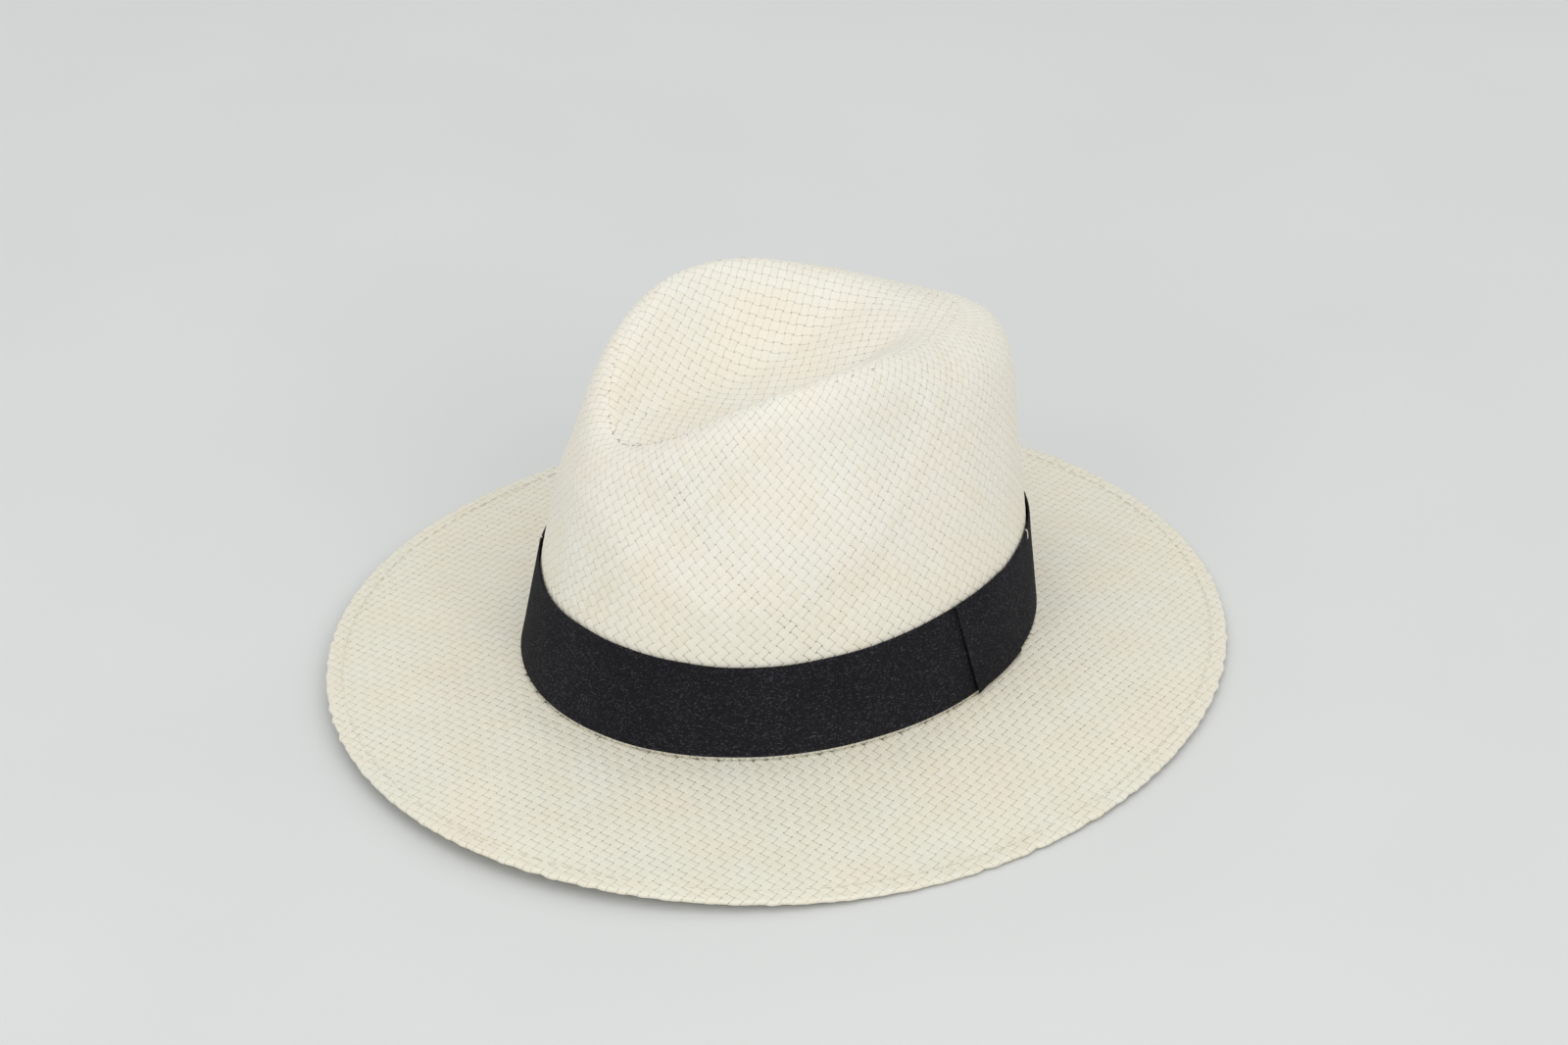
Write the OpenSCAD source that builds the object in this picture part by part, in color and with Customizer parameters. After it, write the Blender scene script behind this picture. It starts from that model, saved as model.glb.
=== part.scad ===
// Woven straw hat of the panama fedora shape.
// The front of the hat points along -Y, the wearer's left is +X and +Z is up.
// It stands on the lowest points of its brim edge at z = 0.

/* [Ribbon] */
// Half width of the ribbon's lower edge, ear to ear
band_x = 86.7; // [75:0.1:100]
// Half length of the ribbon's lower edge, front to back
band_y = 103.4; // [90:0.1:120]
// Height of the ribbon's lower edge above the table
band_z = 12; // [8:0.5:30]
// Height of the ribbon
ribbon_h = 36.5; // [20:0.5:50]
// Thickness of the ribbon
ribbon_t = 0.6; // [0.3:0.05:1.2]
// Air between the ribbon and the straw
ribbon_gap = 0.3; // [0.1:0.05:1]
// Angle from the front at which the keeper starts, on the wearer's left
keeper_from = 108; // [60:1:150]
// Angle from the front at which the keeper ends
keeper_to = 127; // [70:1:170]
// How far the keeper's lower edge lies round towards the back of its upper edge
keeper_skew = 4; // [0:0.5:10]
// Number of tack stitches along the ribbon's upper edge
tack_count = 2; // [2:1:12]
// Radius of the tack thread
tack_r = 0.3; // [0.2:0.05:0.6]

/* [Crown] */
// Thickness of the woven straw
straw_t = 1.2; // [0.8:0.1:2.5]
// Mean half width of the crest line
crest_w = 42; // [30:0.5:60]
// How much wider the crest is in front than behind
crest_w_front = 12; // [0:0.5:25]
// How much the crest is filled out at its sides
crest_w_side = 5.5; // [-6:0.5:8]
// How far the front tip is drawn to a point, as a share
crest_tip = 0.24; // [0:0.01:0.5]
// Angle over which the front tip is drawn in
crest_tip_w = 24; // [10:1:50]
// Middle of the crest line along Y
crest_y = 5; // [-10:0.5:20]
// Half length of the crest line
crest_l = 72; // [60:0.5:90]
// Mean height of the crest line
crest_z = 133; // [100:0.5:160]
// How much higher the back is than the front
crest_z_back = 5; // [-10:0.5:15]
// How much higher the sides are than the front and back
crest_z_side = 12; // [0:0.5:25]
// Third wave of the crest height
crest_z_wave = 3.5; // [-6:0.5:6]
// Rounding of the crest, measured outwards
crest_out = 8; // [4:0.5:15]
// Extra rounding at the back of the crown
crest_out_back = 10; // [0:0.5:15]
// Drop of the rounded shoulder at the back
crest_drop_back = 4; // [0:0.5:12]
// Share of the wall that is straight before the crest rounding
wall_straight = 0.86; // [0.7:0.01:0.95]

/* [Pinches and dent] */
// Bulge of the plain wall in front
bulge_front = 3; // [0:0.5:10]
// Bulge of the plain wall behind
bulge_back = 2; // [0:0.5:10]
// Depth of the two side pinches
pinch = 8; // [0:0.5:16]
// Angle from the front to the middle of each pinch
pinch_at = 60; // [20:1:90]
// Half the angle that a pinch covers
pinch_w = 50; // [20:1:70]
// Height at which the pinch starts, as a share of the wall
pinch_low = 0.45; // [0.2:0.01:0.8]
// How far the middle of the top sinks below the line from front to back
dent_mid = 2.6; // [-10:0.1:20]
// How much deeper the front half of the dent is than the back half
dent_front = 6.1; // [0:0.1:15]
// Swelling of the undented back of the top
dome_back = 2.8; // [0:0.1:8]
// Share of the width over which the dent's floor is flat
dent_flat = 0.3; // [0:0.01:0.8]

/* [Brim] */
// Half width of the brim
brim_x = 160.2; // [120:0.1:200]
// Half length of the brim
brim_y = 178; // [130:0.1:220]
// How steeply the brim leaves the crown
brim_curve = 1.35; // [1:0.05:3]
// Lift of the brim's front edge
brim_lift = 5.4; // [0:0.1:20]
// Angle from the front at which the edge touches the table
brim_rest = 84; // [60:1:120]
// Height of the gentle waves in the brim's edge between the places where it touches
brim_wave = 1.3; // [0:0.1:6]
// Radius of the turned edge
hem_r = 1.5; // [1:0.1:3]
// Thickness of the turned edge
hem_t = 0.9; // [0.5:0.1:1.5]
// Width of the flap that is turned under
hem_w = 8; // [4:0.5:15]
// Radius of the wire in the edge
wire_r = 0.5; // [0.3:0.05:1]
// Distance of the hem stitches from the edge
stitch_in = 6.5; // [4:0.5:12]
// Number of hem stitches
stitch_count = 180; // [60:2:300]
// Radius of the stitching thread
thread_r = 0.25; // [0.15:0.05:0.6]

/* [Sweatband] */
// Height of the sweatband
sweat_h = 34; // [20:1:50]
// Thickness of the sweatband
sweat_t = 1.2; // [0.6:0.1:2.5]
// Number of stitches along the sweatband's lower edge
sweat_stitches = 120; // [40:2:240]
// Width of the tape over the sweatband's back joint
tape_w = 14; // [6:1:30]

/* [Hidden] */
// Which sub-part is drawn
$fn = 24;
straw_col = [0.93, 0.90, 0.80];
thread_col = [0.90, 0.86, 0.74];
ribbon_col = [0.06, 0.06, 0.09];
// The straw's outer oval at the brim break, inside the ribbon
base_x = band_x - ribbon_t - ribbon_gap;
base_y = band_y - ribbon_t - ribbon_gap;
base_z = band_z - 0.9;
// Share of the wall rows that lie below the crest rounding
row_straight = 0.82;
// Small gap between solids that only touch
touch = 0.05;
// Step used to measure a surface's slope
eps = 0.01;
// Middle line on which the rings of the top close
middle_y = crest_y - 1;
middle_l = crest_l - 16;
col_step = 5;
cols = 360 / col_step;
wall_rows = [for (i = [0 : 7]) row_straight * i / 7];
turn_rows = [for (i = [1 : 5]) row_straight + (1 - row_straight) * i / 5];
top_rows = [for (i = [1 : 8]) 1 + i / 8];
hood_rows = concat(wall_rows, turn_rows, top_rows);
brim_rows = [for (i = [0 : 7]) i / 7];

function limit(x) = min(max(x, 0), 1);
function ease(x) = let (c = limit(x)) c * c * (3 - 2 * c);
function bump(x, c, w) = abs(x - c) < w ? 0.5 + 0.5 * cos(180 * (x - c) / w) : 0;
// Angle from the front, 0 to 180, and the side it lies on
function fold(t) = let (a = t < 0 ? -t : t) a > 180 ? 360 - a : a;
function side(t) = t < 0 || t > 180 ? -1 : 1;
function mirrored(p, t) = [side(t) * p[0], p[1], p[2]];

// How far an angle belongs to the undented back of the crown
function backness(a) = ease((-cos(a) - 0.05) / 0.85);
function outward(a) = let (x = base_y * sin(a), y = -base_x * cos(a), n = norm([x, y])) [x / n, y / n, 0];
function tip_pull(a) = 1 - crest_tip * exp(-pow(a / crest_tip_w, 2));
function crest_half(a) = (crest_w + crest_w_front * cos(a) - crest_w_side * cos(2 * a)) * tip_pull(a);
function crest_height(a) =
    crest_z - crest_z_back * cos(a) - crest_z_side * cos(2 * a) - crest_z_wave * cos(3 * a);
function crest(a) = [crest_half(a) * sin(a), crest_y - crest_l * cos(a), crest_height(a)];
function turn_out(a) = crest_out + crest_out_back * backness(a);
function turn_drop(a) = 0.5 + (crest_drop_back - 0.5) * backness(a);
function corner(a) = crest(a) + turn_out(a) * outward(a) - [0, 0, turn_drop(a)];
function base(a) = [base_x * sin(a), -base_y * cos(a), base_z];

// Outward swelling of the wall, which leaves a pinch above the line pinch_start
function swell(a) =
    bulge_front + (bulge_back - bulge_front) * backness(a) + pinch * bump(a, pinch_at, pinch_w);
function pinch_start(a) =
    min(pinch_low + (0.8 - pinch_low) * pow((a - pinch_at) / pinch_w, 2), 0.8);
function pinch_share(a, w) = let (s = pinch_start(a)) ease(pow(limit((w - s) / (1 - s)), 0.85));
function swelling(a, w) = swell(a) * (w - pinch_share(a, w)) * outward(a);

function wall_low(a, w) = base(a) + (corner(a) - base(a)) * w;
function wall_turn(a, q) =
    let (s = wall_low(a, wall_straight))
    (1 - q) * (1 - q) * s + 2 * q * (1 - q) * corner(a) + q * q * crest(a);
function wall(a, v) =
    v < row_straight
    ? let (w = wall_straight * v / row_straight) wall_low(a, w) + swelling(a, w)
    : let (q = (v - row_straight) / (1 - row_straight))
        wall_turn(a, q) + swelling(a, wall_straight + (1 - wall_straight) * q);

// The top is a height over the ground plan: k is the share of the way from front to back,
// floor_z the height of the middle line, and the sides rise from it to the crest line.
function share_back(y) = limit((y - crest_y + crest_l) / (2 * crest_l));
function floor_z(k) =
    crest_height(0) + (crest_height(180) - crest_height(0)) * k
    - dent_mid * sin(180 * k) - dent_front * sin(360 * k) + dome_back * sin(540 * k);
function crest_angle(y) = acos(1 - 2 * share_back(y));
function top_z(x, y) =
    let (a = crest_angle(y), f = floor_z(share_back(y)), c = crest(a))
    let (r = abs(x) / max(c[0], 0.01))
    f + (c[2] - f) * ease((r - dent_flat) / (1 - dent_flat));
// u = 0 on the crest line, 1 on a short line in the middle
function top(a, u) =
    let (c = crest(a), x = c[0] * (1 - u), y = c[1] + (middle_y - middle_l * cos(a) - c[1]) * u)
    [x, y, top_z(x, y)];

// The whole hood surface: s = 0 to 1 is the wall, 1 to 2 the top
function hood_half(a, s) = s <= 1 ? wall(a, s) : top(a, s - 1);
function hood(t, s) = mirrored(hood_half(fold(t), s), t);
function unit(v) = v / norm(v);
function top_normal(x, y) =
    unit([(top_z(x - 0.3, y) - top_z(x + 0.3, y)) / 0.6, (top_z(x, y - 0.3) - top_z(x, y + 0.3)) / 0.6, 1]);
function wall_normal(a, s) =
    let (r = min(max(s, eps), 1 - eps))
    unit(cross(hood(a + 0.4, r) - hood(a - 0.4, r), hood(a, r + eps) - hood(a, r - eps)));
function hood_normal(a, s) = s < 1 ? wall_normal(a, s) : let (p = hood_half(a, s)) top_normal(p[0], p[1]);
// A point at a distance d outside the hood surface, on the folded half
function off_half(a, s, d) =
    let (p = hood_half(a, s) + d * hood_normal(a, s))
    [s > 1.99 || a < 0.01 || a > 179.99 ? 0 : p[0], p[1], p[2]];
function off(t, s, d) = mirrored(off_half(fold(t), s, d), t);
// Wall row at which the straight wall reaches the height z
function row_at(t, z) = row_straight * (z - base_z) / (corner(fold(t))[2] - base_z) / wall_straight;

// The brim: q = 0 at the crown, 1 at the edge; wire_z is the middle of the turned edge
function front_lift(a) = pow(limit((cos(a) - cos(brim_rest)) / (1 - cos(brim_rest))), 1.5);
function wave_turn(a) = a < brim_rest ? a / brim_rest : (a - brim_rest) / (180 - brim_rest);
function wire_z(a) = hem_r + brim_lift * front_lift(a) + brim_wave * pow(sin(180 * wave_turn(a)), 2);
function brim_z(a, q) =
    let (e = wire_z(a) + hem_r)
    e + (base_z - e) * pow(1 - q, brim_curve);
function ray(t, q) =
    [(base_x + (brim_x - base_x) * q) * sin(t), -(base_y + (brim_y - base_y) * q) * cos(t), 0];
// Share of the way out that lies the distance d inside the edge
function inset(t, d) = 1 - d / norm(ray(t, 1) - ray(t, 0));
function brim_pt(t, q, down) = ray(t, q) + [0, 0, brim_z(fold(t), q) - down];
// A point of the hem: d inside the edge, h above the wire's middle
function hem_pt(t, d, h) = ray(t, inset(t, d)) + [0, 0, wire_z(fold(t)) + h];

// A skin between two grids of points, each a list of columns of rows.
// loop closes it round; seam folds the last row onto itself, so its columns meet in pairs.
module skin(a, b, loop = true, seam = false) {
    n = len(a);
    m = len(a[0]);
    k = n * m;
    last = loop ? n - 1 : n - 2;
    pts = [for (g = [a, b]) for (c = g) for (p = c) p];
    function at(i, j) = (seam && j == m - 1 && 2 * i > n ? n - i : i) * m + j;
    sheets = [for (i = [0 : last]) for (j = [0 : m - 2])
        let (h = (i + 1) % n, p = at(i, j), q = at(h, j), r = at(h, j + 1), s = at(i, j + 1))
        each (floor(4 * i / n) % 2 == 0 && seam
            ? [[p, s, q], [s, r, q], [k + p, k + q, k + s], [k + s, k + q, k + r]]
            : [[p, s, r], [p, r, q], [k + p, k + q, k + r], [k + p, k + r, k + s]])];
    low = [for (i = [0 : last])
        let (p = at(i, 0), q = at((i + 1) % n, 0))
        each [[p, q, k + q], [p, k + q, k + p]]];
    high = seam ? [] : [for (i = [0 : last])
        let (p = at(i, m - 1), q = at((i + 1) % n, m - 1))
        each [[p, k + q, q], [p, k + p, k + q]]];
    e = (n - 1) * m;
    ends = loop ? [] : [for (j = [0 : m - 2])
        each [[j, k + j, k + j + 1], [j, k + j + 1, j + 1],
            [e + j, e + j + 1, k + e + j + 1], [e + j, k + e + j + 1, k + e + j]]];
    polyhedron(points = pts, faces = concat(sheets, low, high, ends), convexity = 10);
}

// A closed ring of closed cross-sections
module ring(s) {
    n = len(s);
    m = len(s[0]);
    faces = [for (i = [0 : n - 1]) for (j = [0 : m - 1])
        let (p = i * m, q = (i + 1) % n * m, h = (j + 1) % m)
        each [[p + j, p + h, q + h], [p + j, q + h, q + j]]];
    polyhedron(points = [for (c = s) each c], faces = faces, convexity = 10);
}

// A straight piece of thread between two points
module thread(p, q, r) {
    d = q - p;
    l = norm(d);
    translate(p)
        rotate([0, acos(d[2] / l), atan2(d[1], d[0])])
            cylinder(h = l, r = r, $fn = 8);
}

// The woven body above the brim
module crown() {
    foot = straw_t + 0.2;
    color(straw_col)
        skin(
            [for (i = [0 : cols - 1]) let (t = i * col_step)
                concat([hood(t, 0) - [0, 0, foot]], [for (s = hood_rows) off(t, s, 0)])],
            [for (i = [0 : cols - 1]) let (t = i * col_step)
                concat([off(t, 0, -straw_t) - [0, 0, foot]], [for (s = hood_rows) off(t, s, -straw_t)])],
            seam = true);
}

// The woven brim, from the crown out to the turned edge
module brim() {
    edge = hem_r + 0.9;
    color(straw_col)
        skin(
            [for (i = [0 : cols - 1]) let (t = i * col_step) [for (r = brim_rows)
                brim_pt(t, touch / 70 + (inset(t, edge) - touch / 70) * r, straw_t)]],
            [for (i = [0 : cols - 1]) let (t = i * col_step) [for (r = brim_rows)
                brim_pt(t, touch / 70 + (inset(t, edge) - touch / 70) * r, 0)]]);
}

// The edge turned round the wire and under the brim
module brim_hem() {
    start = hem_r + 0.9 - touch;
    inner_r = hem_r - hem_t;
    bend = [for (i = [0 : 6]) 90 - 30 * i];
    flap = [hem_r + 2, hem_w * 0.6, hem_w];
    color(straw_col)
        skin(
            [for (i = [0 : cols - 1]) let (t = i * col_step) concat(
                [hem_pt(t, start, inner_r)],
                [for (b = bend) hem_pt(t, hem_r - inner_r * cos(b), inner_r * sin(b))],
                [for (d = flap) brim_pt(t, inset(t, d), straw_t + 0.1 + flap_sag(d))])],
            [for (i = [0 : cols - 1]) let (t = i * col_step) concat(
                [hem_pt(t, start, hem_r)],
                [for (b = bend) hem_pt(t, hem_r - hem_r * cos(b), hem_r * sin(b))],
                [for (d = flap) brim_pt(t, inset(t, d), straw_t + 0.1 + hem_t + flap_sag(d))])]);
}
function flap_sag(d) = 0.8 * pow(1 - (d - hem_r) / (hem_w - hem_r), 2);

// The wire inside the turned edge
module brim_wire() {
    color([0.7, 0.7, 0.72])
        ring([for (i = [0 : cols - 1]) let (t = i * col_step)
            [for (j = [0 : 7]) hem_pt(t, hem_r + wire_r * cos(45 * j), wire_r * sin(45 * j))]]);
}

// The line of stitches that holds the turned flap
module hem_stitches() {
    pitch = 360 / stitch_count;
    color(thread_col)
        for (i = [0 : stitch_count - 1])
            thread(
                brim_pt(i * pitch, inset(i * pitch, stitch_in), -thread_r - touch),
                brim_pt((i + 0.6) * pitch, inset((i + 0.6) * pitch, stitch_in), -thread_r - touch),
                thread_r);
}

// The ribbon; its cut ends meet under the keeper
module hat_band() {
    joint = (keeper_from + keeper_to) / 2;
    turn = 359.4;
    inner = ribbon_gap;
    outer = ribbon_gap + ribbon_t;
    color(ribbon_col)
        skin(
            [for (i = [0 : cols]) let (t = (joint + 0.3 + turn * i / cols) % 360)
                [for (j = [0 : 3]) off(t, row_at(t, band_z + ribbon_h * j / 3), outer)]],
            [for (i = [0 : cols]) let (t = (joint + 0.3 + turn * i / cols) % 360)
                [for (j = [0 : 3]) off(t, row_at(t, band_z + ribbon_h * j / 3), inner)]],
            loop = false);
}

// The folded piece of ribbon that covers the joint
module band_keeper() {
    n = 8;
    low = ribbon_gap + 0.1;
    in_face = ribbon_gap + ribbon_t + 0.15;
    out_face = in_face + ribbon_t;
    foot = band_z - 0.1;
    head = band_z + ribbon_h + 0.1;
    span = head - foot;
    outer_span = span + 2 * ribbon_t;
    function leaning(t, z) = t + keeper_skew * (head - z) / span;
    function face(t, z, d) = let (h = leaning(t, z)) off(h, row_at(h, z), d);
    color(ribbon_col)
        skin(
            [for (i = [0 : n]) let (t = keeper_from + (keeper_to - keeper_from) * i / n) concat(
                [face(t, foot - ribbon_t, low)],
                [for (j = [0 : 3]) face(t, foot - ribbon_t + outer_span * j / 3, out_face)],
                [face(t, head + ribbon_t, low)])],
            [for (i = [0 : n]) let (t = keeper_from + (keeper_to - keeper_from) * i / n) concat(
                [face(t, foot, low)],
                [for (j = [0 : 3]) face(t, foot + span * j / 3, in_face)],
                [face(t, head, low)])],
            loop = false);
}

// Tack stitches over the ribbon's upper edge
module band_tacks() {
    face = ribbon_gap + ribbon_t + tack_r + touch;
    first = 145;
    color(thread_col)
        for (i = [0 : tack_count - 1]) {
            t = (first + i * 360 / tack_count) % 360;
            thread(
                off(t, row_at(t, band_z + ribbon_h - 3), face),
                off(t, row_at(t, band_z + ribbon_h + 0.7), face),
                tack_r);
        }
}

// The sweatband inside the foot of the crown
module sweatband() {
    foot = base_z - 0.4;
    outer = -straw_t - 0.3;
    color([0.80, 0.72, 0.58])
        skin(
            [for (i = [0 : cols - 1]) let (t = i * col_step)
                [for (j = [0 : 4]) off(t, row_at(t, foot + sweat_h * j / 4), outer)]],
            [for (i = [0 : cols - 1]) let (t = i * col_step)
                [for (j = [0 : 4]) off(t, row_at(t, foot + sweat_h * j / 4), outer - sweat_t)]]);
}

// The stitches along the sweatband's lower edge
module sweatband_stitches() {
    face = -straw_t - 0.3 - sweat_t - thread_r - touch;
    z = base_z + 3;
    pitch = 360 / sweat_stitches;
    color(thread_col)
        for (i = [0 : sweat_stitches - 1]) {
            t = i * pitch;
            h = (i + 0.6) * pitch;
            if (abs(t - 180) > 6)
                thread(off(t, row_at(t, z), face), off(h, row_at(h, z), face), thread_r);
        }
}

// The tape over the sweatband's back joint
module sweatband_tape() {
    half = tape_w / 2 / base_x * 57;
    n = 4;
    z = base_z + 1;
    h = sweat_h - 3;
    face = -straw_t - 0.3 - sweat_t - 0.1;
    color([0.86, 0.80, 0.68])
        skin(
            [for (i = [0 : n]) let (t = 180 - half + 2 * half * i / n)
                [for (j = [0 : 3]) off(t, row_at(t, z + h * j / 3), face)]],
            [for (i = [0 : n]) let (t = 180 - half + 2 * half * i / n)
                [for (j = [0 : 3]) off(t, row_at(t, z + h * j / 3), face - 0.5)]],
            loop = false);
}

crown();
brim();
brim_hem();
brim_wire();
hem_stitches();
hat_band();
band_keeper();
band_tacks();
sweatband();
sweatband_stitches();
sweatband_tape();
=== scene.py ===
"""Looks of the woven straw hat. Every strand of the straw is a strip that really goes over and under its
neighbours, the ribbon is ribbed cloth, the sweatband and its tape are twill, and the stitches are thread.
Lengths are in millimetres until a mesh is made. Angles are in degrees, from the front towards +X."""

import math

import bpy
import numpy as np
from mathutils import Matrix, Vector


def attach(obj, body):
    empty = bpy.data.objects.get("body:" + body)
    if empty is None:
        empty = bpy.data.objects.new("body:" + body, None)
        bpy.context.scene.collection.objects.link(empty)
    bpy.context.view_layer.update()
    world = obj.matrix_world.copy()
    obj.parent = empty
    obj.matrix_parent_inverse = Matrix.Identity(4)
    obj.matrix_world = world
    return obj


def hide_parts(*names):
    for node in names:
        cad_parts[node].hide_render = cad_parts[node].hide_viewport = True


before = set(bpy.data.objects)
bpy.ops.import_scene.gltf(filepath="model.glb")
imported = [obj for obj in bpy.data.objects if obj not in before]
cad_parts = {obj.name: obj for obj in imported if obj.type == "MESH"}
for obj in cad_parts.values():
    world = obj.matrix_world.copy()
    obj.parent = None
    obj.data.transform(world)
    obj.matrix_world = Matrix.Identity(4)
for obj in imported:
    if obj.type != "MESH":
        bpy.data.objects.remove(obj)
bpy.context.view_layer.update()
rng = np.random.default_rng(11)

# ---------------------------------------------------------------- the hat's surface, as in part.scad
BASE_X, BASE_Y, BASE_Z = 85.8, 102.5, 11.1
CREST_Y, CREST_L, CREST_Z = 5.0, 72.0, 133.0
CREST_Z_BACK, CREST_Z_SIDE, CREST_Z_WAVE = 5, 12, 3.5
CREST_W, CREST_W_FRONT, CREST_W_SIDE = 42, 12, 5.5
CREST_TIP, CREST_TIP_W = 0.24, 24
CREST_OUT, CREST_OUT_BACK = 8, 10
CREST_DROP, CREST_DROP_BACK = 0.5, 3.5
BULGE = 3
PINCH, PINCH_AT, PINCH_W, PINCH_LOW = 8, 60, 50, 0.45
DENT_MID, DENT_FRONT, DOME_BACK, DENT_FLAT = 2.6, 6.1, 2.8, 0.3
BRIM_X, BRIM_Y, BRIM_REST = 160.2, 178.0, 84.0
BRIM_LIFT, BRIM_WAVE, BRIM_CURVE = 5.4, 1.3, 1.35
STRAIGHT, ROW_STRAIGHT = 0.86, 0.82
HEM_R, HEM_W, STRAW_T = 1.5, 8.0, 1.2
BAND_Z, RIBBON_H, RIBBON_T, RIBBON_GAP = 12.0, 36.5, 0.6, 0.3
KEEPER_FROM, KEEPER_TO, KEEPER_SKEW = 108.0, 127.0, 4.0


def ease(x):
    """Smooth step from 0 to 1."""
    c = np.clip(x, 0, 1)
    return c * c * (3 - 2 * c)


def bump(x, centre, width):
    """Round hump, 1 at the centre and 0 at the width to either side of it."""
    return np.where(np.abs(x - centre) < width, 0.5 + 0.5 * np.cos(np.pi * (x - centre) / width), 0)


def xyz(x, y, z):
    return np.stack(np.broadcast_arrays(x, y, z), -1).astype(float)


def unit(v):
    return v / np.maximum(np.linalg.norm(v, axis=-1, keepdims=True), 1e-9)


def fold(t):
    """Angle from the front on either side, 0 to 180."""
    a = np.abs(t)
    return np.where(a > 180, 360 - a, a)


def backness(a):
    """0 over the front and the sides, 1 at the back."""
    return ease((-np.cos(np.radians(a)) - 0.05) / 0.85)


def outward(a):
    """Level direction straight out from the foot of the crown."""
    r = np.radians(a)
    return unit(xyz(BASE_Y * np.sin(r), -BASE_X * np.cos(r), 0))


def crest_height(a):
    r = np.radians(a)
    return CREST_Z - CREST_Z_BACK * np.cos(r) - CREST_Z_SIDE * np.cos(2 * r) - CREST_Z_WAVE * np.cos(3 * r)


def crest(a):
    """The ridge round the dent."""
    r = np.radians(a)
    half = CREST_W + CREST_W_FRONT * np.cos(r) - CREST_W_SIDE * np.cos(2 * r)
    half = half * (1 - CREST_TIP * np.exp(-((a / CREST_TIP_W) ** 2)))
    return xyz(half * np.sin(r), CREST_Y - CREST_L * np.cos(r), crest_height(a))


def corner(a):
    """Where the wall's straight slope would meet the top, outside the rounded crest."""
    out = CREST_OUT + CREST_OUT_BACK * backness(a)
    drop = CREST_DROP + CREST_DROP_BACK * backness(a)
    return crest(a) + out[..., None] * outward(a) - xyz(0, 0, drop)


def wall(a, v):
    """The wall at the share v of its rows, 0 at the foot and 1 on the crest."""
    r = np.radians(a)
    foot = xyz(BASE_X * np.sin(r), -BASE_Y * np.cos(r), BASE_Z)
    high, top_line = corner(a), crest(a)
    low = v < ROW_STRAIGHT
    w = np.where(low, STRAIGHT * v / ROW_STRAIGHT, STRAIGHT)
    q = np.clip((v - ROW_STRAIGHT) / (1 - ROW_STRAIGHT), 0, 1)
    line = foot + (high - foot) * w[..., None]
    start = foot + (high - foot) * STRAIGHT
    k = q[..., None]
    turn = (1 - k) ** 2 * start + 2 * k * (1 - k) * high + k * k * top_line
    share = np.where(low, w, STRAIGHT + (1 - STRAIGHT) * q)
    swell = BULGE - backness(a) + PINCH * bump(a, PINCH_AT, PINCH_W)
    pinch = np.minimum(PINCH_LOW + 0.35 * ((a - PINCH_AT) / PINCH_W) ** 2, 0.8)
    held = ease(np.clip((share - pinch) / (1 - pinch), 0, 1) ** 0.85)
    return np.where(low[..., None], line, turn) + (swell * (share - held))[..., None] * outward(a)


def top_z(x, y):
    """Height of the dented top."""
    k = np.clip((y - CREST_Y + CREST_L) / (2 * CREST_L), 0, 1)
    front, rear = crest_height(np.array(0.0)), crest_height(np.array(180.0))
    middle = front + (rear - front) * k
    middle = middle - DENT_MID * np.sin(np.pi * k) - DENT_FRONT * np.sin(2 * np.pi * k)
    middle = middle + DOME_BACK * np.sin(3 * np.pi * k)
    c = crest(np.degrees(np.arccos(1 - 2 * k)))
    r = np.abs(x) / np.maximum(c[..., 0], 0.01)
    return middle + (c[..., 2] - middle) * ease((r - DENT_FLAT) / (1 - DENT_FLAT))


def wire_z(t):
    """Height of the wire's middle."""
    a = fold(t)
    rest = math.cos(math.radians(BRIM_REST))
    lift = np.clip((np.cos(np.radians(a)) - rest) / (1 - rest), 0, 1) ** 1.5
    turn = np.where(a < BRIM_REST, a / BRIM_REST, (a - BRIM_REST) / (180 - BRIM_REST))
    return HEM_R + BRIM_LIFT * lift + BRIM_WAVE * np.sin(np.pi * turn) ** 2


def brim_z(t, q):
    """Height of the brim's upper face at the share q of the way out."""
    edge = wire_z(t) + HEM_R
    return edge + (BASE_Z - edge) * np.clip(1 - q, 0, None) ** BRIM_CURVE


def brim_xy(t, q):
    r = np.radians(t)
    return (BASE_X + (BRIM_X - BASE_X) * q) * np.sin(r), -(BASE_Y + (BRIM_Y - BASE_Y) * q) * np.cos(r)


def brim_reach(t):
    """Width of the brim."""
    r = np.radians(t)
    return np.hypot((BRIM_X - BASE_X) * np.sin(r), (BRIM_Y - BASE_Y) * np.cos(r))


# ---------------------------------------------------------------- smooth unevenness, seeded
WAVES = [(unit(rng.normal(size=3)), rng.uniform(24, 70), rng.uniform(0, 2 * np.pi)) for _ in range(14)]
CRIMPS = [(int(rng.integers(50, 190)), rng.uniform(0, 2 * np.pi)) for _ in range(9)]


def lumps(p):
    """Slow unevenness of shaped straw, about -1 to 1."""
    return sum(np.sin(p @ d * (2 * np.pi / w) + f) for d, w, f in WAVES) / 4.5


def crimp(t, shift):
    """Short crimps along the brim edge, about -1 to 1."""
    return sum(np.sin(np.radians(t) * n + f * (1 + shift)) for n, f in CRIMPS) / 4


# ---------------------------------------------------------------- the wall as a grid of even steps
COLS, STEP = 720, 0.75
grid_t = np.arange(COLS) * 360.0 / COLS


def mirrored(p, t):
    p = p.copy()
    p[..., 0] *= np.where((t < 0) | (t > 180), -1.0, 1.0)
    return p


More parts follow.
